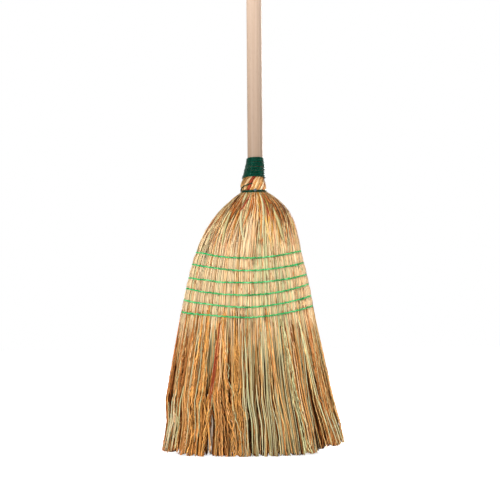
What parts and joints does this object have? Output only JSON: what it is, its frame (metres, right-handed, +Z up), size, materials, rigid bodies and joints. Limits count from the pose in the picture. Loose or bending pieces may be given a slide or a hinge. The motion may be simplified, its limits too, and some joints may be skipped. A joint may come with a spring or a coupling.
{
  "type": "rice straw broom",
  "caption": "Flat sewn straw broom on a long round wooden stick: a fan of straw bound at the neck with coated wire and sewn flat in rows of twine, for sweeping floors.",
  "frame": {"origin": "on the stick's axis, at the level of the lowest straw tips", "axes": "+Z up the stick, +X to the right across the fan seen from the front, +Y from the front to the back of the fan"},
  "size_m": [0.3138, 0.0862, 1.4],
  "materials": {
    "stick_wood": "satin",
    "outer_straw": "matte",
    "inside_straw": "matte",
    "coated_wire": "gloss",
    "sewing_twine": "matte",
    "nail_steel": "satin"
  },
  "bodies": {
    "root": {"handle": "stick_wood", "shoulder_tie_nail": "nail_steel", "neck_winding_wire": "coated_wire", "shoulder_tie_wire": "coated_wire", "core_binding_wire": "coated_wire", "sewing_row_1": "sewing_twine", "sewing_row_2": "sewing_twine", "sewing_row_3": "sewing_twine", "sewing_row_4": "sewing_twine", "sewing_row_5": "sewing_twine", "sewing_row_6": "sewing_twine", "front_hurl_left": "outer_straw", "front_hurl_centre": "outer_straw", "front_hurl_right": "outer_straw", "back_hurl_left": "outer_straw", "back_hurl_centre": "outer_straw", "back_hurl_right": "outer_straw", "left_shoulder_bundle": "inside_straw", "core_bundle": "inside_straw", "right_shoulder_bundle": "inside_straw"}
  },
  "joints": []
}
